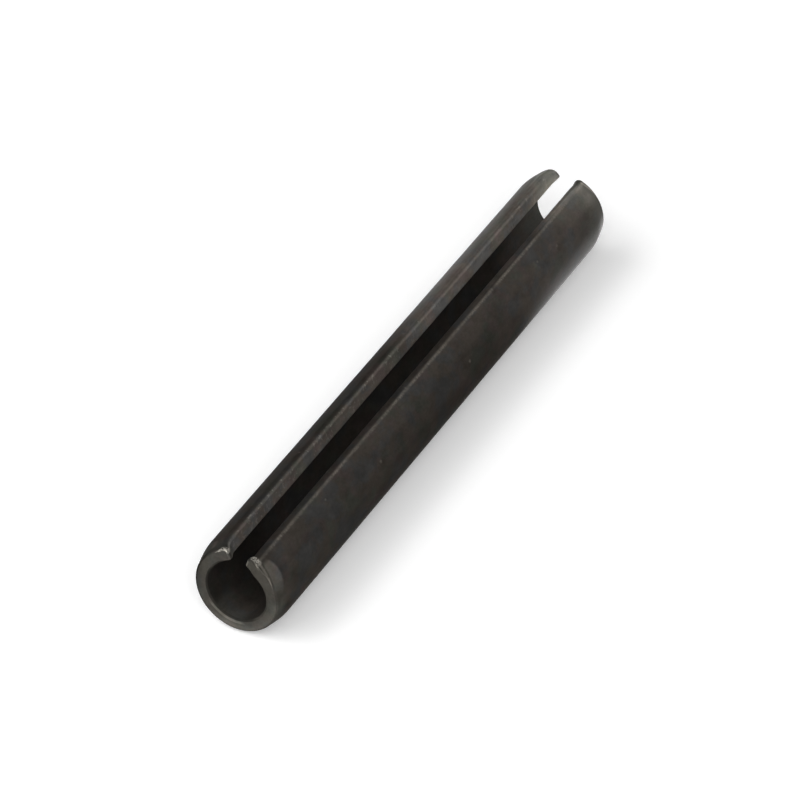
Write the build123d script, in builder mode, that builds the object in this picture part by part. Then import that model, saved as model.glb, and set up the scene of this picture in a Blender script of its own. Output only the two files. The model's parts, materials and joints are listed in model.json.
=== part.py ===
from build123d import *
import os

os.makedirs("parts", exist_ok=True)

# Slotted spring pin: one strip of spring steel, rolled into an open tube and hardened.
# It lies along X with its slot facing +Z. The origin is on its axis, at mid-length.

# Sizes in mm
free_diameter = 8.65  # outside, before the pin is squeezed into its 8 mm hole
wall = 1.5  # thickness of the strip
pin_length = 65.0
slot_angle = 40.0  # degrees of the circle that the strip leaves open
lead_in_length = 1.8  # taper at each end, along the pin
lead_in_drop = 0.375  # how far the taper falls below the body at the end face
shoulder_radius = 6.0  # soft blend from the taper to the body
lip_round = 0.5  # rolled outer edge of each lip
lip_bore_round = 0.25  # inner edge of each lip
end_round = 0.2  # tumbled edge all round each end face

body_radius = free_diameter / 2
bore_radius = body_radius - wall
nose_radius = body_radius - lead_in_drop
half_length = pin_length / 2
taper_start = half_length - lead_in_length

# The section through the wall is drawn in the plane of one lip, and is turned about the axis
# to the other lip, so both lips are cut square to the strip.
lip_plane = Plane.XZ.rotated((slot_angle / 2, 0, 0))

with BuildPart() as spring_pin:
    with BuildSketch(lip_plane) as wall_section:
        with BuildLine():
            Polyline(
                (-half_length, bore_radius),
                (-half_length, nose_radius),
                (-taper_start, body_radius),
                (taper_start, body_radius),
                (half_length, nose_radius),
                (half_length, bore_radius),
                close=True,
            )
        make_face()
        shoulders = wall_section.vertices().group_by(Axis.Y)[-1]
        fillet(shoulders, shoulder_radius)
    revolve(axis=Axis.X, revolution_arc=360 - slot_angle)

    # Lips: a full round outside, along the body and down both tapers, and a smaller one inside
    flat_faces = spring_pin.faces().filter_by(GeomType.PLANE)
    end_faces = flat_faces.filter_by(Axis.X)
    lip_edges = (flat_faces - end_faces).edges() - end_faces.edges()
    lip_bore_edges = lip_edges.group_by(Axis.Z)[0]
    fillet(lip_edges - lip_bore_edges, lip_round)
    fillet(spring_pin.edges().filter_by(Axis.X).group_by(Axis.Z)[0], lip_bore_round)

    # Ends: one edge break runs round the nose, over both lips and round the rim of the bore
    fillet(spring_pin.faces().filter_by(Axis.X).edges(), end_round)

spring_pin.part.label = "spring_pin"
export_step(spring_pin.part, "parts/spring_pin.step")
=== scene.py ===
import json
import math

import bmesh
import bpy
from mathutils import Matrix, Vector


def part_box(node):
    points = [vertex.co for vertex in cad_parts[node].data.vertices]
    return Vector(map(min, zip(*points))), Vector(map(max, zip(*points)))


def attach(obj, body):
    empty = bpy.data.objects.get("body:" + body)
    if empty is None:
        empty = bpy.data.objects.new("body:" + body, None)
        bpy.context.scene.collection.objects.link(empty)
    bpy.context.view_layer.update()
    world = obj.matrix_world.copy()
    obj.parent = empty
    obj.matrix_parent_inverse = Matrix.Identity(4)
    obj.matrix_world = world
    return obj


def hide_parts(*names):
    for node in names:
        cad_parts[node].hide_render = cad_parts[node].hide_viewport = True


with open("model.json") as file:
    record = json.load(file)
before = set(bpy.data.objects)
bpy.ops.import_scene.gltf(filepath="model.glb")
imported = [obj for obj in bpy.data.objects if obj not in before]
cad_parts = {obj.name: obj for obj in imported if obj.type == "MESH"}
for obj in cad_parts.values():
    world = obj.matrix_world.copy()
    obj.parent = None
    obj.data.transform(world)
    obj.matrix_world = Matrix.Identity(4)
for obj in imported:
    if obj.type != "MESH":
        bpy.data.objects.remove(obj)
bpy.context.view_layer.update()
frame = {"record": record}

mounts = {mount["name"]: mount for mount in frame["record"]["mounts"]}
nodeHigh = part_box("spring_pin")[1]

# the pin: one strip rolled into an open tube, lying along X with its slot up
pin = {
    # from the frame
    "radius": mounts["body"]["dims"]["r_mm"] / 1000,
    "boreRadius": mounts["bore"]["dims"]["r_mm"] / 1000,
    "halfLength": nodeHigh.x,
    # metres and radians
    "slotAngle": math.radians(40),
    "leadInLength": 0.0018,
    "leadInDrop": 0.000375,
    "shoulderRadius": 0.006,
    "lipRound": 0.0005,
    "lipBoreRound": 0.000205,
    "endRound": 0.0002,
    # how fine the mesh is
    "ringSteps": 64,
    "lipSteps": 12,
    "boreLipSteps": 4,
    "bodyCuts": 110,
    "shoulderSteps": 5,
    "taperSteps": 8,
    "endSteps": 4,
    # how the rolled strip sits: each lip slid along the pin
    "leftLipSlide": 0.0004,
    "rightLipSlide": -0.0002,
    # marks of tumbling: a faint wave all over, and ragged lips, from and to in mm of lipRun
    "waveHeight": 0.000016,
    "waveLength": 0.0028,
    "raggedHeight": 0.00005,
    "raggedLength": 0.0006,
    "raggedRun": (-0.3, 1.0),
    # how far in from the end face, and how far round past the slot, a bent corner is gripped
    "tipDepth": 0.00026,
    "tipTurn": 0.06,
}

# small knocks in the skin: x in mm, turn in degrees from the slot toward -Y, depth and reach in mm
knocks = [
    (12.5, 29, 0.10, 0.45), (19.5, 49, 0.07, 0.40), (23.1, 55, 0.08, 0.45), (-13.0, 62, 0.05, 0.5),
    (-21.5, 41, 0.05, 0.4), (4.2, 66, 0.05, 0.5), (-4.6, 27, 0.06, 0.35), (-17.2, -26, 0.06, 0.35),
    (2.6, -25, 0.08, 0.35), (14.8, -26, 0.08, 0.4), (25.2, -24, 0.10, 0.45), (-28.3, 29, 0.07, 0.35),
    (-9.0, 118, 0.06, 0.6), (16.0, 160, 0.05, 0.6), (-24.0, -110, 0.06, 0.5), (8.0, -75, 0.06, 0.5),
]

# the corners of the strip, bent over when its ends were pressed: which end, which lip, how far out
# the part that moves begins and ends, the push along X and toward the slot, and its reach, in mm
tips = [
    (-1, "left", 2.7, 4.0, 0.05, 0.36, 1.2),
    (-1, "right", 2.7, 4.0, 0.42, 0.26, 0.9),
    (1, "left", 2.7, 3.2, 0.35, 0.15, 1.0),
    (1, "right", 2.7, 4.0, 0.0, 0.12, 1.0),
]

touching = 1e-6        # metres: nearer than this counts as the same place
inLine = 1e-4          # radians: nearer than this counts as the same turn


def pick(piece, kind, wanted):
    # clear the selection, then take the vertices, edges or faces that pass the test
    bpy.ops.mesh.select_mode(type=kind)
    bpy.ops.mesh.select_all(action="DESELECT")
    mesh = bmesh.from_edit_mesh(piece.data)
    items = {"VERT": mesh.verts, "EDGE": mesh.edges, "FACE": mesh.faces}[kind]
    for item in items:
        item.select_set(bool(wanted(item)))
    mesh.select_flush_mode()
    bmesh.update_edit_mesh(piece.data)


def pickedPoint(piece):
    mesh = bmesh.from_edit_mesh(piece.data)
    return next(vertex.co.copy() for vertex in mesh.verts if vertex.select)


def around(radius, turn, x=0.0):
    # a point at this turn from straight up, toward -Y
    return Vector((x, -radius * math.sin(turn), radius * math.cos(turn)))


def turnOf(point):
    return math.atan2(-point.y, point.z)


def isAt(place, reach=touching):
    return lambda vertex: (vertex.co - place).length < reach


def applyModifiers(piece):
    bpy.ops.object.select_all(action="DESELECT")
    bpy.context.view_layer.objects.active = piece
    piece.select_set(True)
    for modifier in list(piece.modifiers):
        bpy.ops.object.modifier_apply(modifier=modifier.name)


def mirrorOver(piece, name, axes):
    mirror = piece.modifiers.new(name, "MIRROR")
    mirror.use_axis = axes
    mirror.merge_threshold = touching
    mirror.use_mirror_vertex_groups = False
    applyModifiers(piece)


def nudge(push, reach):
    # move what is picked by the push in metres, and what lies round it less and less
    bpy.ops.transform.translate(
        value=push,
        use_proportional_edit=True,
        proportional_edit_falloff="SMOOTH",
        proportional_size=reach,
    )


def storeRuns(piece, name, runs):
    piece.data.attributes.new(name, "FLOAT", "POINT").data.foreach_set("value", runs)


def lipTurns(size):
    # turns from straight up: where a lip's outer round and inner round meet the tube, and the
    # way that its flank faces
    slotHalf = size["slotAngle"] / 2
    lipTurn = slotHalf + math.asin(size["lipRound"] / (size["radius"] - size["lipRound"]))
    boreTurn = slotHalf + math.asin(size["lipBoreRound"] / (size["boreRadius"] + size["lipBoreRound"]))
    return lipTurn, boreTurn, slotHalf - math.pi / 2


def drawWallSection(size):
    # half of the strip's section at mid-length, from the bottom of the tube up to one lip
    wall = size["radius"] - size["boreRadius"]
    middle = -(size["radius"] + size["boreRadius"]) / 2
    lipTurn, boreTurn, flankFacing = lipTurns(size)

    bpy.ops.object.select_all(action="DESELECT")
    bpy.ops.mesh.primitive_plane_add(size=wall, location=(0, 0, middle), rotation=(0, math.pi / 2, 0))
    piece = bpy.context.active_object
    piece.name = "rolledPin"
    bpy.ops.object.transform_apply(location=True, rotation=True, scale=True)

    # flatten the plane to one edge across the wall, and spin it round to the lip
    bpy.ops.object.mode_set(mode="EDIT")
    bpy.ops.transform.resize(value=(1, 0, 1), center_override=(0, 0, 0))
    bpy.ops.mesh.remove_doubles(threshold=touching)
    bpy.ops.mesh.select_all(action="SELECT")
    bpy.ops.mesh.spin(steps=size["ringSteps"], angle=math.pi - lipTurn, center=(0, 0, 0), axis=(1, 0, 0))

    # the lip's outer round, then the last of the bore and the lip's inner round
    pick(piece, "VERT", isAt(around(size["radius"], lipTurn)))
    roundCentre = around(size["radius"] - size["lipRound"], lipTurn)
    bpy.ops.mesh.spin(steps=size["lipSteps"], angle=lipTurn - flankFacing, center=roundCentre, axis=(1, 0, 0))
    outerEnd = pickedPoint(piece)
    pick(piece, "VERT", isAt(around(size["boreRadius"], lipTurn)))
    bpy.ops.mesh.spin(steps=1, angle=lipTurn - boreTurn, center=(0, 0, 0), axis=(1, 0, 0))
    roundCentre = around(size["boreRadius"] + size["lipBoreRound"], boreTurn)
    bpy.ops.mesh.spin(
        steps=size["boreLipSteps"],
        angle=boreTurn - flankFacing - math.pi,
        center=roundCentre,
        axis=(1, 0, 0),
    )
    innerEnd = pickedPoint(piece)

    # the flat flank between the two rounds, and the face that closes the lip
    pick(piece, "VERT", lambda vertex: isAt(outerEnd)(vertex) or isAt(innerEnd)(vertex))
    bpy.ops.mesh.edge_face_add()
    pick(piece, "VERT", lambda vertex: abs(turnOf(vertex.co)) < lipTurn + inLine)
    bpy.ops.mesh.edge_face_add()

    # what the lead-in pulls in later: all that lies outside the middle of the flank
    flankMiddle = (outerEnd.length + innerEnd.length) / 2
    skin = piece.vertex_groups.new(name="outerSkin")
    piece.vertex_groups.active_index = skin.index
    pick(piece, "VERT", lambda vertex: vertex.co.length > flankMiddle)
    bpy.ops.object.vertex_group_assign()
    bpy.ops.object.mode_set(mode="OBJECT")
    mirrorOver(piece, "otherLip", (False, True, False))
    storeRuns(piece, "lipRun", [runFromLip(vertex.co, size) for vertex in piece.data.vertices])
    return piece


def runFromLip(point, size):
    # how far along the section's outline, in mm: below 0 on the skin, 0 to 0.85 round the lip,
    # then across the flat flank and round into the bore
    radius, boreRadius = size["radius"], size["boreRadius"]
    lipRound, lipBoreRound = size["lipRound"], size["lipBoreRound"]
    lipTurn, boreTurn, flankFacing = lipTurns(size)
    turn, distance = abs(turnOf(point)), point.length
    flankStart = lipRound * (lipTurn - flankFacing)
    flankEnd = flankStart + radius - boreRadius - lipRound - lipBoreRound
    boreStart = flankEnd + lipBoreRound * (flankFacing + math.pi - boreTurn)
    side = Vector((0, -abs(point.y), point.z))
    if distance > radius - touching and turn > lipTurn:
        run = -radius * (turn - lipTurn)
    elif distance < boreRadius + touching and turn > boreTurn - inLine:
        run = boreStart + boreRadius * (turn - boreTurn)
    elif distance > (radius + boreRadius) / 2:
        facing = turnOf(side - around(radius - lipRound, lipTurn))
        run = lipRound * (lipTurn - facing)
    else:
        facing = turnOf(side - around(boreRadius + lipBoreRound, boreTurn))
        run = flankEnd + lipBoreRound * (flankFacing - facing)
    return 1000 * run


def inSkin(piece, vertex):
    layer = bmesh.from_edit_mesh(piece.data).verts.layers.deform.active
    return vertex[layer].get(piece.vertex_groups["outerSkin"].index, 0) > 0.5


def pickEndFaces(piece, x):
    def facesEnd(face):
        return abs(face.calc_center_median().x - x) < touching and abs(face.normal.x) > 0.9

    pick(piece, "FACE", facesEnd)


def leadInStations(size):
    # where the straight body ends, and the x and radius of each step down shoulder and taper
    taperTurn = math.atan(size["leadInDrop"] / size["leadInLength"])
    taperStart = size["halfLength"] - size["leadInLength"]
    bodyEnd = taperStart - size["shoulderRadius"] * math.tan(taperTurn / 2)
    stations = []
    for step in range(1, size["shoulderSteps"] + 1):
        turn = taperTurn * step / size["shoulderSteps"]
        x = bodyEnd + size["shoulderRadius"] * math.sin(turn)
        stations.append((x, size["radius"] - size["shoulderRadius"] * (1 - math.cos(turn))))
    shoulderX = stations[-1][0]
    taperEnd = size["halfLength"] - size["endRound"]
    for step in range(1, size["taperSteps"] + 1):
        x = shoulderX + (taperEnd - shoulderX) * step / size["taperSteps"]
        stations.append((x, size["radius"] - math.tan(taperTurn) * (x - taperStart)))
    return bodyEnd, stations


def pullOutBody(piece, size):
    # half the length, toward -X: the straight body, the shoulder and taper, and the edge break
    bodyEnd, stations = leadInStations(size)
    bpy.ops.object.mode_set(mode="EDIT")
    bpy.ops.mesh.select_mode(type="VERT")
    bpy.ops.mesh.select_all(action="SELECT")
    bpy.ops.mesh.extrude_region_move(TRANSFORM_OT_translate={"value": (-bodyEnd, 0, 0)})
    pick(piece, "EDGE", lambda edge: edge.calc_length() > bodyEnd / 2)
    bpy.ops.mesh.subdivide(number_cuts=size["bodyCuts"])

    lastX, lastRadius = bodyEnd, size["radius"]
    for x, radius in stations:
        pickEndFaces(piece, -lastX)
        bpy.ops.mesh.extrude_region_move(TRANSFORM_OT_translate={"value": (lastX - x, 0, 0)})
        pick(piece, "VERT", lambda vertex: abs(vertex.co.x + x) < touching and inSkin(piece, vertex))
        shrink = radius / lastRadius
        bpy.ops.transform.resize(value=(1, shrink, shrink), center_override=(0, 0, 0))
        lastX, lastRadius = x, radius

    # one edge break runs round the nose, over both lips and round the rim of the bore
    bpy.ops.mesh.select_all(action="SELECT")
    bpy.ops.mesh.normals_make_consistent(inside=False)
    pickEndFaces(piece, -lastX)
    inward, outward = 0.0, 0.0
    for step in range(1, size["endSteps"] + 1):
        turn = math.pi / 2 * step / size["endSteps"]
        newInward = size["endRound"] * (1 - math.cos(turn))
        newOutward = size["endRound"] * math.sin(turn)
        bpy.ops.mesh.inset(
            thickness=newInward - inward,
            depth=newOutward - outward,
            use_boundary=True,
            use_even_offset=True,
        )
        inward, outward = newInward, newOutward

    # open the middle, and mirror the other half on to it
    pickEndFaces(piece, 0.0)
    bpy.ops.mesh.delete(type="FACE")
    bpy.ops.mesh.select_all(action="SELECT")
    bpy.ops.mesh.normals_make_consistent(inside=False)
    bpy.ops.object.mode_set(mode="OBJECT")
    mirrorOver(piece, "otherHalf", (True, False, False))


def markEnds(piece, size):
    # how far round the edge break at each end, in mm: below 0 on the body, greatest on the end face
    endRound, runs = size["endRound"], []
    for vertex in piece.data.vertices:
        depth = size["halfLength"] - abs(vertex.co.x)
        if depth > endRound:
            runs.append(1000 * (endRound - depth))
        else:
            runs.append(1000 * endRound * math.asin(min(1.0, 1 - depth / endRound)))
    storeRuns(piece, "endRun", runs)


def addCloudyPush(piece, name, height, length, group=""):
    clouds = bpy.data.textures.new(name, "CLOUDS")
    clouds.noise_scale = length
    clouds.noise_depth = 2
    push = piece.modifiers.new(name, "DISPLACE")
    push.texture = clouds
    push.texture_coords = "LOCAL"
    push.direction = "NORMAL"
    push.strength = height
    push.mid_level = 0.5
    push.vertex_group = group


def addSlide(piece, name, side, slide):
    # shear one side of the tube along X, from nothing at the bottom to the full slide at its lip
    group = piece.vertex_groups.new(name=name)
    for vertex in piece.data.vertices:
        if vertex.co.y * side > 0:
            share = (math.pi - abs(turnOf(vertex.co))) / math.pi
            group.add([vertex.index], share, "REPLACE")
    push = piece.modifiers.new(name, "DISPLACE")
    push.direction = "X"
    push.mid_level = 0.0
    push.strength = slide
    push.vertex_group = name


def knockSkin(piece, size, knocks):
    bpy.ops.object.mode_set(mode="EDIT")
    for x, turn, depth, reach in knocks:
        turn = math.radians(turn)
        place = around(size["radius"], turn, x / 1000)
        mesh = bmesh.from_edit_mesh(piece.data)
        nearest = min(mesh.verts, key=lambda vertex: (vertex.co - place).length)
        pick(piece, "VERT", isAt(nearest.co.copy(), touching / 10))
        nudge(-around(depth / 1000, turn), reach / 1000)
    bpy.ops.object.mode_set(mode="OBJECT")


def pushTips(piece, size, tips):
    bpy.ops.object.mode_set(mode="EDIT")
    slotHalf = size["slotAngle"] / 2
    for end, lip, low, high, along, inward, reach in tips:
        side = -1 if lip == "left" else 1

        def atTip(vertex):
            turn = side * turnOf(vertex.co)
            return (
                vertex.co.x * end > size["halfLength"] - size["tipDepth"]
                and 0 < turn < slotHalf + size["tipTurn"]
                and low < 1000 * math.hypot(vertex.co.y, vertex.co.z) < high
            )

        pick(piece, "VERT", atTip)
        push = Vector((along, side * inward * math.cos(slotHalf), inward * math.sin(slotHalf)))
        nudge(push / 1000, reach / 1000)
    bpy.ops.object.mode_set(mode="OBJECT")


def weatherSurface(piece, size):
    lips = piece.vertex_groups.new(name="lipEdges")
    low, high = size["raggedRun"]
    for vertex, run in zip(piece.data.vertices, piece.data.attributes["lipRun"].data):
        if low < run.value < high:
            lips.add([vertex.index], math.sin(math.pi * (run.value - low) / (high - low)), "REPLACE")
    addSlide(piece, "leftLip", 1, size["leftLipSlide"])
    addSlide(piece, "rightLip", -1, size["rightLipSlide"])
    addCloudyPush(piece, "tumbled", size["waveHeight"], size["waveLength"])
    addCloudyPush(piece, "ragged", size["raggedHeight"], size["raggedLength"], "lipEdges")
    applyModifiers(piece)
    piece.vertex_groups.clear()


piece = drawWallSection(pin)
pullOutBody(piece, pin)
markEnds(piece, pin)
knockSkin(piece, pin, knocks)
pushTips(piece, pin, tips)
weatherSurface(piece, pin)
print("pin modelled,", len(piece.data.polygons), "faces")


# the finish: mottled black oxide, worn pale along the lips and the end edges, with part of the highlight
# there painted in; lipRun and endRun are read from the mesh, in mm from where a lip's outer round and an
# end's edge break start
finish = {
    "body": (0.0696, 0.0600, 0.0514),
    "greenGrey": (0.0620, 0.0618, 0.0522),
    "purpleBrown": (0.0730, 0.0597, 0.0545),
    "blueGrey": (0.0625, 0.0610, 0.0592),
    "worn": (0.27, 0.245, 0.21),
    "bare": (0.62, 0.59, 0.52),
    "metallic": 0.6,
    "rimTint": 0.42,             # how pale the skin gets where it is seen aslant
    "roughness": 0.45,
    "roughnessSpread": 0.16,
    "boreRoughness": 0.8,
    "wearRoughness": -0.1,
    # sizes in mm
    "patchSize": 2.0,
    "mottleSize": 1.3,
    "grainSize": 0.26,
    "grainHeight": 0.02,
    "fleckSize": 0.30,
    # contrast of the tone, as a share
    "mottleContrast": 0.49,
    "grainContrast": 0.19,
    "grainBump": 0.3,
    # how far the oxide turns green grey at the ends: the share, the endRun over which it does,
    # and the x in mm over which it does so farther in at the far end
    "endShare": 0.55,
    "endTint": (-1.3, -0.3),
    "farTint": (26.0, 31.0),
    # how much the oxide has gone in each kind of wear, the lip lines and the end line also standing for part
    # of a painted highlight; the flecks on the left flank, then the right
    "leftLipWearAndHighlight": 0.15,
    "rightLipWearAndHighlight": 0.50,
    "endWearAndHighlight": 0.75,
    "flankFlecks": (0.16, 0.05),
    "fleckDensity": 0.6,
    "knockWear": 0.2,
    "tipWear": 0.55,
    # where the worn line, partly a painted highlight, runs on each lip: its middle and half its width, in mm of
    # lipRun
    "leftLine": (0.57, 0.19),
    "rightLine": (-0.13, 0.23),
    "linePatchiness": 0.7,
    # the lipRun of the flat flank, and where the bore begins
    "flank": (0.4, 0.6, 1.7, 1.9),
    "bore": (1.65, 2.1),
    # the endRun over which an end face begins
    "endFace": (0.26, 0.31),
}

# the worn line on the near corner of the right lip, partly a painted highlight along that edge break: its
# middle in mm of endRun is a slope over lipRun up to a limit
endLine = {
    "slope": -0.22,
    "start": -0.30,
    "limit": 0.11,
    "halfWidth": 0.22,
    "patchiness": 0.3,
    "lipRun": (-2.4, -1.9, -0.1, 0.2),
}

# the near corners of the strip, knocked bright: aslant over the left one, round the right one
corners = {
    "slant": 0.15,
    "leftSlant": (-0.2, 0.0, 0.28, 0.36),
    "leftLipRun": (-0.25, 0.05, 0.65, 1.0),
    "rightEndRun": (-0.6, -0.35, 0.0, 0.2),
    "rightLipRun": (-0.55, -0.2, 0.25, 0.6),
    "noiseScale": 6.5,
    "noiseDetail": 2.0,
    "noiseShare": (0.33, 0.55),
}

# the bare speck in the middle of each knock: how ragged, in mm, and its edges as shares of the reach
specks = {"noiseScale": 6.0, "noiseDetail": 2.0, "ragged": 0.16, "outer": 0.45, "inner": 0.12}

# oil left on the far part of the skin: from and to in mm along X on each half, how much, the lipRun
# where it stops at the lip and where it is full low on the side, and its surface
film = {
    "left": (3.0, 12.0),
    "right": (13.0, 23.0),
    "leftShare": 0.8333,
    "rightShare": 0.95,
    "lipStop": (0.9, 0.6),
    "lowSide": (-3.4, -5.0),
    "highShare": 0.3,
    "roughness": 0.2,
    "ior": 1.18,
}

# a painted highlight: the pale lens-shaped patch on the near lead-in beside each lip, where the taper would
# catch the light; toward the body it ends in a parabola, toward the nose in a root, both endRun over lipRun
crescentHighlight = {
    "gain": 1.7,
    "leftShare": 0.5,
    "lipRun": (-4.1, -1.9, -0.9, -0.4),
    "bodyMiddle": -1.7,
    "bodyDepth": -1.45,
    "bodyCurve": 0.15,
    "noseDepth": -1.02,
    "noseCurve": 0.55,
    "fade": 0.3,
}

# tone across the section of each half, lipRun then the tone, partly painted light and shade: the skin darker
# away from the lips and the first part of each lip round darker as painted shade, the flanks paler both as a
# brighter sheared face and as painted light
leftToneAndPaintedLight = (
    (-12, 0.52), (-2.0, 0.45), (-1.3, 0.48), (-0.7, 0.63), (-0.2, 0.76), (0.12, 0.64), (0.40, 0.66),
    (0.56, 1.2), (0.70, 2.4), (1.45, 3.0), (1.92, 3.6), (2.2, 0.9), (10, 0.9),
)
rightToneAndPaintedLight = (
    (-12, 0.52), (-5.0, 0.50), (-4.0, 0.49), (-3.2, 0.55), (-2.3, 0.67), (-1.6, 0.77), (-0.8, 0.77),
    (-0.1, 0.88), (0.12, 0.64), (0.74, 0.64), (0.88, 2.1), (1.55, 2.1), (1.75, 1.2), (2.2, 0.9), (10, 0.9),
)
topTone = 4.0        # a ramp ends at 1, so it holds the tones as shares of this

# painted light and shade, as paler and darker areas: how much paler, the half, and where each fades in and out;
# "along" is x, and "toward" is a turn in degrees from the slot and then the distance out that way, all in mm
paintedLightAreas = {
    # the end faces and the rims round them: painted reflection low on the ends and right of them, a painted
    # highlight on the inner edge, painted shade on the inner break and left of the ends, the faces a little
    # darker
    "endFaces": {"gain": -0.1, "endRun": (0.22, 0.3)},
    "bottomOfEnds": {"gain": 1.0, "endRun": (0.1, 0.28), "toward": (-172, 2.8, 3.7)},
    "innerEdge": {"gain": 0.9, "endRun": (0.25, 0.31), "lipRun": (1.5, 2.0), "toward": (-160, 2.5, 2.9)},
    "innerBreak": {
        "gain": -0.45, "endRun": (-0.1, 0.05, 0.24, 0.31), "lipRun": (1.9, 2.1), "toward": (-138, 0.3, 0.9),
    },
    "leftOfEnds": {"gain": -0.4, "endRun": (-1.6, -0.3), "toward": (-80, 3.1, 4.1)},
    "rightOfEnds": {"gain": 0.5, "endRun": (-1.1, -0.2), "toward": (125, 2.8, 3.6)},
    # the skin and the lips, from the near end to the far one: painted light, paler in bands along the skin and
    # much paler toward the far end and its tips, with painted shade on the left flank near each end
    "rightSkinEnd": {
        "gain": 0.13, "side": "right", "along": (-22.0, -27.0), "lipRun": (-11.5, -8.0, -4.4, -3.2),
    },
    "rightSkinNear": {
        "gain": 0.15, "side": "right", "along": (-9.0, -14.0), "lipRun": (-11.5, -8.0, -2.8, -1.4),
    },
    "rightSkinFar": {
        "gain": 0.45, "side": "right", "along": (7.0, 18.0), "lipRun": (-11.5, -8.0, -2.2, -0.8),
    },
    "leftSkinFar": {"gain": 1.25, "side": "left", "along": (-1.5, 7.0), "lipRun": (-11.5, -8.0, 0.3, 0.5)},
    "leftRoundFar": {"gain": 0.42, "side": "left", "along": (-2.0, 6.0), "lipRun": (-0.25, 0.1, 0.45, 0.6)},
    "leftFlankFar": {"gain": 0.45, "side": "left", "along": (0.0, 7.0), "lipRun": (0.5, 0.7, 2.0, 2.2)},
    "leftFlankEnd": {
        "gain": -0.6, "side": "left", "endRun": (-0.2, 0.02, 0.26, 0.31), "lipRun": (0.75, 0.95, 2.2, 2.4),
    },
    "rightLipFar": {"gain": 0.5, "side": "right", "along": (4.0, 14.0), "lipRun": (0.05, 0.2, 0.9, 1.1)},
    "leftLipTip": {"gain": 0.8, "side": "left", "along": (25.0, 33.0), "lipRun": (-0.4, 0.0, 0.45, 0.65)},
    "leftFlankTip": {
        "gain": -0.22, "side": "left", "along": (22.8, 24.2, 25.8, 28.5), "lipRun": (0.5, 0.6, 2.0, 2.2),
    },
    "rightLipTip": {
        "gain": 2.1, "side": "right", "along": (21.0, 27.5, 28.0, 33.0), "lipRun": (-0.15, 0.2, 1.0, 1.2),
    },
    "rightSkinTip": {
        "gain": 0.8, "side": "right", "along": (22.5, 28.8, 30.2, 33.0), "lipRun": (-2.6, -0.4, 0.1, 0.3),
    },
    "leadInFar": {"gain": 0.3, "along": (28.0, 30.5, 31.0, 33.5), "lipRun": (-11.5, -8.0, 0.0, 0.2)},
    # the bore: painted shade deep in its near end, and painted light low by its rims and toward its far end
    "boreNear": {"gain": -0.48, "along": (-19.0, -27.0), "endRun": (0.12, -0.1), "lipRun": (2.0, 2.2)},
    "boreRim": {
        "gain": 0.8, "endRun": (-3.0, -0.5, 0.0, 0.1), "lipRun": (2.0, 2.2), "toward": (-165, 2.2, 2.8),
    },
    "boreFar": {"gain": 0.95, "along": (21.5, 32.0), "lipRun": (2.0, 2.2)},
}


def feed(tree, socket, value):
    # link a socket, or set a number or a colour on it
    if isinstance(value, bpy.types.NodeSocket):
        tree.links.new(value, socket)
    elif isinstance(value, tuple) and len(value) == 3 and len(socket.default_value) == 4:
        socket.default_value = (*value, 1)
    else:
        socket.default_value = value


def feedAll(tree, sockets, values):
    for name, value in values.items():
        feed(tree, sockets[name], value)


def addNode(tree, kind, inputs, **settings):
    # a new node with its settings made and its inputs fed; what comes back is its outputs
    node = tree.nodes.new("ShaderNode" + kind)
    for name, value in settings.items():
        setattr(node, name, value)
    feedAll(tree, node.inputs, inputs)
    return node.outputs


def layOut(tree):
    # each node one column to the right of all that feeds it, and below the last one in its column
    columnWidth, rowHeight = 240, 260
    feeders = {node.name: [] for node in tree.nodes}
    for link in tree.links:
        feeders[link.to_node.name].append(link.from_node.name)
    columns = {}

    def columnOf(name):
        if name not in columns:
            columns[name] = 1 + max(map(columnOf, feeders[name]), default=0)
        return columns[name]

    rows = {}
    for node in tree.nodes:
        column = columnOf(node.name)
        rows[column] = rows.get(column, 0) + 1
        node.location = (columnWidth * column, -rowHeight * rows[column])
    return tree


def maths(tree, operation, *values):
    return addNode(tree, "Math", dict(enumerate(values)), operation=operation)[0]


def times(tree, *values):
    product = values[0]
    for value in values[1:]:
        product = maths(tree, "MULTIPLY", product, value)
    return product


def stretch(tree, vector, scale, offset=(0, 0, 0)):
    return addNode(tree, "Mapping", {"Vector": vector, "Scale": scale, "Location": offset})[0]


def noise(tree, vector, scale, detail, roughness=0.5, output="Fac"):
    inputs = {"Vector": vector, "Scale": scale, "Detail": detail, "Roughness": roughness}
    return addNode(tree, "TexNoise", inputs)[output]


def between(tree, value, low, high):
    # 0 up to low, 1 past high, and a soft step between them; high may be the smaller number
    inputs = {"Value": value, "From Min": low, "From Max": high}
    return addNode(tree, "MapRange", inputs, interpolation_type="SMOOTHSTEP")["Result"]


def window(tree, value, riseFrom, riseTo, fallFrom=None, fallTo=None):
    # 1 inside the window, 0 outside it; without a fall it stays 1
    risen = between(tree, value, riseFrom, riseTo)
    if fallFrom is None:
        return risen
    return maths(tree, "SUBTRACT", risen, between(tree, value, fallFrom, fallTo))


def mixColours(tree, factor, first, second):
    # a Mix node keeps the sockets of its other data types too, so these are taken by number
    return addNode(tree, "Mix", {0: factor, 6: first, 7: second}, data_type="RGBA")[2]


def newGroup(name, inputs, outputs):
    tree = bpy.data.node_groups.new(name, "ShaderNodeTree")
    for socketName, kind in inputs.items():
        tree.interface.new_socket(socketName, in_out="INPUT", socket_type="NodeSocket" + kind)
    for socketName, kind in outputs.items():
        tree.interface.new_socket(socketName, in_out="OUTPUT", socket_type="NodeSocket" + kind)
    given = tree.nodes.new("NodeGroupInput").outputs
    result = tree.nodes.new("NodeGroupOutput").inputs
    return tree, given, result


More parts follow.
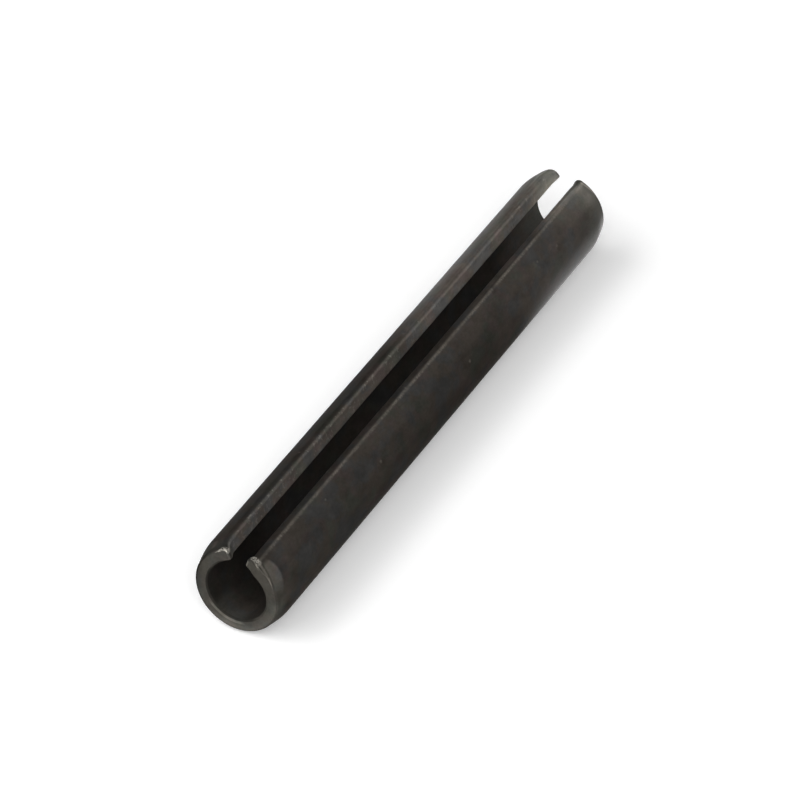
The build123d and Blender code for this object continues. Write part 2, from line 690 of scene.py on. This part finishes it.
def makeMottledOxide():
    # soft patches of three tints over the colour of the body
    tree, given, result = newGroup(
        "mottledOxide",
        {"Place": "Vector", "Patch Size": "Float", "Body": "Color", "Green Grey": "Color",
         "Purple Brown": "Color", "Blue Grey": "Color"},
        {"Colour": "Color"},
    )
    longer, patchEdge = (0.8, 1, 1), (0.47, 0.62)
    colour = given["Body"]
    patchScale = maths(tree, "DIVIDE", 1.0, given["Patch Size"])
    for step, tint in enumerate(("Green Grey", "Purple Brown", "Blue Grey")):
        apart = (17 * step, 5, 11 * step)
        shifted = stretch(tree, given["Place"], longer, apart)
        patch = noise(tree, shifted, patchScale, detail=4.0, roughness=0.6)
        colour = mixColours(tree, between(tree, patch, *patchEdge), colour, given[tint])
    feed(tree, result["Colour"], colour)
    return layOut(tree)


def makeDrawnGrain():
    # tone of the rolled and tumbled strip: soft mottling and a fine grain, a little longer
    # along the pin than across it
    tree, given, result = newGroup(
        "drawnGrain",
        {"Place": "Vector", "Mottle Size": "Float", "Mottle Contrast": "Float",
         "Grain Size": "Float", "Grain Contrast": "Float"},
        {"Tone": "Float", "Grain": "Float", "Cloud": "Float"},
    )
    longer, apart = (0.7, 1, 1), (2, 9, 4)
    along = stretch(tree, given["Place"], longer, apart)
    grainScale, cloudScale = [maths(tree, "DIVIDE", 1.0, given[name]) for name in ("Grain Size", "Mottle Size")]
    grain = noise(tree, along, grainScale, detail=2.0, roughness=0.6)
    cloud = noise(tree, along, cloudScale, detail=5.0, roughness=0.62)
    tone = 1.0
    for value, contrast in ((grain, "Grain Contrast"), (cloud, "Mottle Contrast")):
        centred = times(tree, maths(tree, "SUBTRACT", value, 0.5), given[contrast])
        tone = times(tree, maths(tree, "MULTIPLY_ADD", centred, 2.0, 1.0), tone)
    feedAll(tree, result, {"Tone": tone, "Grain": grain, "Cloud": cloud})
    return layOut(tree)


def makeEdgeLine():
    # a worn line along an edge, which here also paints part of a highlight: it follows a distance read from
    # the surface, wanders a little, and comes and goes
    tree, given, result = newGroup(
        "edgeLine",
        {"Place": "Vector", "Run": "Float", "Middle": "Float", "Half Width": "Float", "Patchiness": "Float"},
        {"Wear": "Float"},
    )
    longer, apart = (0.6, 1, 1), (3, 7, 1)
    wandering = 0.12        # mm
    broadGaps, fineGaps = (0.3, 0.62), (0.3, 0.7)
    along = stretch(tree, given["Place"], longer, apart)
    broad = noise(tree, along, scale=0.8, detail=3.0, roughness=0.6)
    fine = noise(tree, given["Place"], scale=4.5, detail=3.0, roughness=0.65)
    wander = maths(tree, "MULTIPLY_ADD", fine, wandering, -wandering / 2)
    offset = maths(tree, "SUBTRACT", maths(tree, "ADD", given["Run"], wander), given["Middle"])
    away = maths(tree, "DIVIDE", maths(tree, "ABSOLUTE", offset), given["Half Width"])
    line = between(tree, away, 1.0, 0.0)
    broken = times(tree, between(tree, broad, *broadGaps), between(tree, fine, *fineGaps))
    solid = maths(tree, "SUBTRACT", 1.0, given["Patchiness"])
    share = maths(tree, "MULTIPLY_ADD", broken, given["Patchiness"], solid)
    feed(tree, result["Wear"], times(tree, share, line))
    return layOut(tree)


def makeFlecks():
    # small bright flecks where the oxide has chipped, in loose clusters
    tree, given, result = newGroup(
        "flecks", {"Place": "Vector", "Size": "Float", "Where": "Float", "Density": "Float"}, {"Fleck": "Float"}
    )
    rarest, denser, clustering, softness = 0.72, -0.2, 0.4, 0.1
    spot = noise(tree, given["Place"], maths(tree, "DIVIDE", 1.0, given["Size"]), detail=1.0)
    cluster = noise(tree, given["Place"], scale=1.1, detail=2.0)
    least = maths(tree, "MULTIPLY_ADD", given["Density"], denser, rarest)
    least = maths(tree, "MULTIPLY_ADD", maths(tree, "SUBTRACT", 0.5, cluster), clustering, least)
    fleck = between(tree, spot, least, maths(tree, "ADD", least, softness))
    feed(tree, result["Fleck"], times(tree, fleck, given["Where"]))
    return layOut(tree)


def readSurface(tree):
    # where a point is in mm, its runs from the lips and the ends, and which half it is on
    place = stretch(tree, addNode(tree, "TexCoord", {})["Object"], (1000, 1000, 1000))
    apart = addNode(tree, "SeparateXYZ", {0: place})
    lipRun = addNode(tree, "Attribute", {}, attribute_name="lipRun")["Fac"]
    endRun = addNode(tree, "Attribute", {}, attribute_name="endRun")["Fac"]
    isLeft = maths(tree, "GREATER_THAN", apart["Y"], 0.0)
    return {
        "place": place, "x": apart["X"], "y": apart["Y"], "z": apart["Z"],
        "lipRun": lipRun, "endRun": endRun,
        "isLeft": isLeft, "isRight": maths(tree, "SUBTRACT", 1.0, isLeft),
        "isNear": maths(tree, "LESS_THAN", apart["X"], 0.0),
        "notEnd": maths(tree, "SUBTRACT", 1.0, between(tree, endRun, *finish["endFace"])),
    }


def pickSide(tree, reads, left, right):
    # one number for the lip on +Y, another for the lip on -Y
    return maths(tree, "MULTIPLY_ADD", reads["isLeft"], left - right, right)


def toneAcross(tree, run, stops):
    # a smooth curve through the stops, read at this distance from the lip
    low, high = stops[0][0], stops[-1][0]
    ramp = tree.nodes.new("ShaderNodeValToRGB")
    ramp.color_ramp.interpolation = "EASE"
    elements = ramp.color_ramp.elements
    while len(elements) < len(stops):
        elements.new(0.5)
    # first the positions, because the elements are sorted as they move
    for element, (where, _) in zip(elements, stops):
        element.position = (where - low) / (high - low)
    for element, (_, tone) in zip(elements, stops):
        element.color = (*[tone / topTone] * 3, 1)
    position = {"Value": run, "From Min": float(low), "From Max": float(high)}
    feed(tree, ramp.inputs["Fac"], addNode(tree, "MapRange", position)["Result"])
    return maths(tree, "MULTIPLY", ramp.outputs["Color"], topTone)


def areaMask(tree, reads, area):
    # the share of this area at a point: each limit the area gives narrows it
    parts = []
    for name, read in (("along", "x"), ("endRun", "endRun"), ("lipRun", "lipRun")):
        if name in area:
            parts.append(window(tree, reads[read], *area[name]))
    if "toward" in area:
        turn, low, high = area["toward"]
        turn = math.radians(turn)
        out = maths(tree, "MULTIPLY", reads["y"], -math.sin(turn))
        out = maths(tree, "MULTIPLY_ADD", reads["z"], math.cos(turn), out)
        parts.append(window(tree, out, low, high))
    # the flat end faces have no run from the lips
    if "lipRun" in area and "endRun" not in area:
        parts.append(reads["notEnd"])
    if "side" in area:
        parts.append(reads["isLeft"] if area["side"] == "left" else reads["isRight"])
    return times(tree, *parts)


# a painted highlight: the pale lens-shaped patch on the near lead-in beside each lip
def crescentHighlightMask(tree, reads):
    offMiddle = maths(tree, "SUBTRACT", reads["lipRun"], crescentHighlight["bodyMiddle"])
    low = maths(
        tree, "MULTIPLY_ADD", times(tree, offMiddle, offMiddle), crescentHighlight["bodyCurve"], crescentHighlight["bodyDepth"])
    depth = maths(tree, "MAXIMUM", maths(tree, "MULTIPLY", reads["lipRun"], -1.0), 0.0)
    high = maths(tree, "MULTIPLY_ADD", maths(tree, "SQRT", depth), crescentHighlight["noseCurve"], crescentHighlight["noseDepth"])
    risen, fallen = [
        between(tree, reads["endRun"], edge, maths(tree, "ADD", edge, crescentHighlight["fade"])) for edge in (low, high)
    ]
    share = maths(tree, "MAXIMUM", maths(tree, "SUBTRACT", risen, fallen), 0.0)
    return times(tree, share, window(tree, reads["lipRun"], *crescentHighlight["lipRun"]),
                 pickSide(tree, reads, crescentHighlight["leftShare"], 1.0), reads["isNear"])


def knockMask(tree, reads):
    # a raggedly round speck in the middle of each knock
    total = 0.0
    ragged = noise(tree, reads["place"], specks["noiseScale"], specks["noiseDetail"], output="Color")
    wobble = {0: ragged, 1: (specks["ragged"],) * 3, 2: reads["place"]}
    wobbled = addNode(tree, "VectorMath", wobble, operation="MULTIPLY_ADD")[0]
    shift = Vector((specks["ragged"] / 2,) * 3)
    for x, turn, _, reach in knocks:
        centre = around(1000 * pin["radius"], math.radians(turn), x) + shift
        distance = addNode(tree, "VectorMath", {0: wobbled, 1: centre}, operation="DISTANCE")["Value"]
        speck = between(tree, distance, specks["outer"] * reach, specks["inner"] * reach)
        total = maths(tree, "ADD", speck, total)
    return total


def makeToneAndPaintedLight(tree, reads):
    # painted light and shade: across the section, then the areas, then the crescent highlight
    across = addNode(tree, "Mix", {
        0: reads["isLeft"],
        2: toneAcross(tree, reads["lipRun"], rightToneAndPaintedLight),
        3: toneAcross(tree, reads["lipRun"], leftToneAndPaintedLight),
    }, data_type="FLOAT")[0]
    tone = maths(tree, "MULTIPLY_ADD", maths(tree, "SUBTRACT", across, 1.0), reads["notEnd"], 1.0)
    changes = [(areaMask(tree, reads, area), area["gain"]) for area in paintedLightAreas.values()]
    changes.append((crescentHighlightMask(tree, reads), crescentHighlight["gain"]))
    for mask, gain in changes:
        tone = times(tree, tone, maths(tree, "MULTIPLY_ADD", mask, gain, 1.0))
    return tone


def makeWearAndHighlight(tree, reads):
    # a line along each lip and one beside the near end by the right lip, worn and partly painted highlight,
    # and the specks in the knocks
    edgeLine = makeEdgeLine()
    place, lipRun, endRun = reads["place"], reads["lipRun"], reads["endRun"]
    middles, halfWidths = zip(finish["leftLine"], finish["rightLine"])
    lipWearAndHighlight = addNode(tree, "Group", {
        "Place": place,
        "Run": lipRun,
        "Middle": pickSide(tree, reads, *middles),
        "Half Width": pickSide(tree, reads, *halfWidths),
        "Patchiness": finish["linePatchiness"],
    }, node_tree=edgeLine)["Wear"]
    lipWearAndHighlight = times(tree, lipWearAndHighlight, reads["notEnd"], pickSide(
        tree, reads, finish["leftLipWearAndHighlight"], finish["rightLipWearAndHighlight"]))
    endMiddle = maths(tree, "MULTIPLY_ADD", lipRun, endLine["slope"], endLine["start"])
    endWearAndHighlight = addNode(tree, "Group", {
        "Place": place,
        "Run": endRun,
        "Middle": maths(tree, "MINIMUM", endLine["limit"], endMiddle),
        "Half Width": endLine["halfWidth"],
        "Patchiness": endLine["patchiness"],
    }, node_tree=edgeLine)["Wear"]
    endWearAndHighlight = times(tree, endWearAndHighlight, window(tree, lipRun, *endLine["lipRun"]), reads["isRight"],
                    finish["endWearAndHighlight"])
    wearAndHighlight = times(tree, knockMask(tree, reads), finish["knockWear"])
    for part in (lipWearAndHighlight, endWearAndHighlight):
        wearAndHighlight = maths(tree, "ADD", wearAndHighlight, part)
    return wearAndHighlight


def makeBareSpots(tree, reads):
    # the knocked corners, and flecks on the flanks
    place, lipRun, endRun = reads["place"], reads["lipRun"], reads["endRun"]
    slant = maths(tree, "MULTIPLY_ADD", lipRun, corners["slant"], endRun)
    leftTip = times(tree, reads["isLeft"], window(tree, slant, *corners["leftSlant"]),
                    window(tree, lipRun, *corners["leftLipRun"]))
    rightTip = times(tree, reads["isRight"], window(tree, endRun, *corners["rightEndRun"]),
                     window(tree, lipRun, *corners["rightLipRun"]))
    broken = noise(tree, place, corners["noiseScale"], corners["noiseDetail"])
    corner = times(tree, reads["notEnd"], maths(tree, "ADD", leftTip, rightTip),
                   between(tree, broken, *corners["noiseShare"]), reads["isNear"], finish["tipWear"])
    onFlank = times(tree, reads["notEnd"], window(tree, lipRun, *finish["flank"]),
                    pickSide(tree, reads, *finish["flankFlecks"]))
    flecks = addNode(tree, "Group", {
        "Place": place,
        "Size": finish["fleckSize"],
        "Where": onFlank,
        "Density": finish["fleckDensity"],
    }, node_tree=makeFlecks())["Fleck"]
    return maths(tree, "MAXIMUM", corner, flecks)


def makeFilm(tree, reads):
    # on the skin and the lips only
    start, end = [pickSide(tree, reads, *limits) for limits in zip(film["left"], film["right"])]
    lowSide = between(tree, reads["lipRun"], *film["lowSide"])
    return times(tree, between(tree, reads["x"], start, end), between(tree, reads["lipRun"], *film["lipStop"]),
                 maths(tree, "MULTIPLY_ADD", lowSide, 1.0 - film["highShare"], film["highShare"]),
                 pickSide(tree, reads, film["leftShare"], film["rightShare"]))


def makeBlackenedSteel():
    material = bpy.data.materials.new("blackenedSteel")
    material.use_nodes = True
    tree = material.node_tree
    shader = tree.nodes["Principled BSDF"]
    feedAll(tree, shader.inputs, {
        "Metallic": finish["metallic"],
        "Specular IOR Level": 0.0,
        "Specular Tint": (finish["rimTint"],) * 3,
        "Coat Roughness": film["roughness"],
        "Coat IOR": film["ior"],
    })

    reads = readSurface(tree)
    grain = addNode(tree, "Group", {
        "Place": reads["place"],
        "Mottle Size": finish["mottleSize"],
        "Mottle Contrast": finish["mottleContrast"],
        "Grain Size": finish["grainSize"],
        "Grain Contrast": finish["grainContrast"],
    }, node_tree=makeDrawnGrain())
    oxide = addNode(tree, "Group", {
        "Place": reads["place"],
        "Patch Size": finish["patchSize"],
        "Body": finish["body"],
        "Green Grey": finish["greenGrey"],
        "Purple Brown": finish["purpleBrown"],
        "Blue Grey": finish["blueGrey"],
    }, node_tree=makeMottledOxide())["Colour"]
    wearAndHighlight = makeWearAndHighlight(tree, reads)

    # colour: the oxide, green grey at the ends, then the tone with its painted light and shade, the wear
    # with its part of painted highlight, and the bare spots
    nearEnds = maths(tree, "MAXIMUM", between(tree, reads["endRun"], *finish["endTint"]),
                     between(tree, reads["x"], *finish["farTint"]))
    coat = mixColours(tree, times(tree, nearEnds, finish["endShare"]), oxide, finish["greenGrey"])
    # the grain's tone, times the painted light and shade
    tone = times(tree, grain["Tone"], makeToneAndPaintedLight(tree, reads))
    toned = addNode(tree, "VectorMath", {0: coat, "Scale": tone}, operation="SCALE")[0]
    colour = mixColours(tree, wearAndHighlight, toned, finish["worn"])
    colour = mixColours(tree, makeBareSpots(tree, reads), colour, finish["bare"])
    feed(tree, shader.inputs["Base Color"], colour)

    spread = finish["roughnessSpread"]
    inBore = times(tree, reads["notEnd"], between(tree, reads["lipRun"], *finish["bore"]))
    rough = maths(tree, "MULTIPLY_ADD", grain["Cloud"], spread, finish["roughness"] - spread / 2)
    rough = maths(tree, "MULTIPLY_ADD", inBore, finish["boreRoughness"] - finish["roughness"], rough)
    rough = maths(tree, "MULTIPLY_ADD", wearAndHighlight, finish["wearRoughness"], rough)
    feed(tree, shader.inputs["Roughness"], rough)
    feed(tree, shader.inputs["Coat Weight"], makeFilm(tree, reads))

    height = finish["grainHeight"] / 1000
    bumps = {"Strength": finish["grainBump"], "Distance": height, "Height": grain["Grain"]}
    feed(tree, shader.inputs["Normal"], addNode(tree, "Bump", bumps)["Normal"])
    layOut(tree)
    return material


piece.data.materials.append(makeBlackenedSteel())
bpy.ops.object.select_all(action="DESELECT")
bpy.context.view_layer.objects.active = piece
piece.select_set(True)
bpy.ops.object.shade_smooth_by_angle(angle=math.radians(50))
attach(piece, "root")
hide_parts("spring_pin")
print("finish made")

# the stage
studio = {
    "worldStrength": 0.12,
    "floorColour": (0.92, 0.92, 0.92),
    "floorRoughness": 0.9,
    "floorSize": 8,
    # how much whiter the floor looks to the camera and in reflections
    "floorLift": 0.2,
    # how far off the lamps stand, and how wide they are
    "distance": 1.5,
    "size": 0.9,
    # azimuth from +X toward +Y and elevation in degrees, then watts
    "lamps": {
        "back": (345, 16, 5.5),
        "left": (120, 50, 8.0),
        "front": (210, 35, 14.5),
        "frontLeft": (160, 40, 9.0),
    },
}

cameraSet = {
    "azimuth": math.radians(-63.635),
    "elevation": math.radians(35.354),
    "distance": 0.4997,
    "lens": 256.6,
    "clip": (0.01, 10),
    "aimRight": -0.00074,
    "aimUp": -0.000823,
}


def makePaleFloor():
    material = bpy.data.materials.new("paleFloor")
    material.use_nodes = True
    tree = material.node_tree
    rays = addNode(tree, "LightPath", {})
    seen = rays["Is Camera Ray"]
    for kind in ("Is Glossy Ray", "Is Transmission Ray"):
        seen = maths(tree, "MAXIMUM", seen, rays[kind])
    feedAll(tree, tree.nodes["Principled BSDF"].inputs, {
        "Base Color": studio["floorColour"],
        "Roughness": studio["floorRoughness"],
        "Specular IOR Level": 0.0,
        "Emission Color": (1, 1, 1),
        "Emission Strength": maths(tree, "MULTIPLY", seen, studio["floorLift"]),
    })
    layOut(tree)
    return material


def lightStudio(scene):
    world = bpy.data.worlds.new("studio")
    scene.world = world
    world.use_nodes = True
    background = world.node_tree.nodes["Background"]
    background.inputs["Color"].default_value = (1, 1, 1, 1)
    background.inputs["Strength"].default_value = studio["worldStrength"]
    for name, (turn, rise, watts) in studio["lamps"].items():
        lampData = bpy.data.lights.new(name, "AREA")
        lampData.energy = watts
        lampData.size = studio["size"]
        lamp = bpy.data.objects.new(name, lampData)
        turn, rise = math.radians(turn), math.radians(rise)
        way = Vector((math.cos(turn) * math.cos(rise), math.sin(turn) * math.cos(rise), math.sin(rise)))
        lamp.location = way * studio["distance"]
        lamp.rotation_euler = way.to_track_quat("Z", "Y").to_euler()
        scene.collection.objects.link(lamp)


def placeCamera(scene):
    azimuth, elevation = cameraSet["azimuth"], cameraSet["elevation"]
    back = Vector((
        math.sin(azimuth) * math.cos(elevation),
        -math.cos(azimuth) * math.cos(elevation),
        math.sin(elevation),
    ))
    right = Vector((0, 0, 1)).cross(back).normalized()
    up = back.cross(right)
    cameraData = bpy.data.cameras.new("camera")
    cameraData.lens = cameraSet["lens"]
    cameraData.clip_start, cameraData.clip_end = cameraSet["clip"]
    camera = bpy.data.objects.new("camera", cameraData)
    camera.location = back * cameraSet["distance"] + right * cameraSet["aimRight"] + up * cameraSet["aimUp"]
    camera.rotation_euler = back.to_track_quat("Z", "Y").to_euler()
    scene.collection.objects.link(camera)
    return camera


bpy.ops.mesh.primitive_plane_add(size=studio["floorSize"], location=(0, 0, -pin["radius"]))
floor = bpy.context.active_object
floor.name = "floor"
floor.data.materials.append(makePaleFloor())

lightStudio(bpy.context.scene)
bpy.context.scene.camera = placeCamera(bpy.context.scene)
bpy.context.scene.view_settings.view_transform = "Standard"
print("stage set")
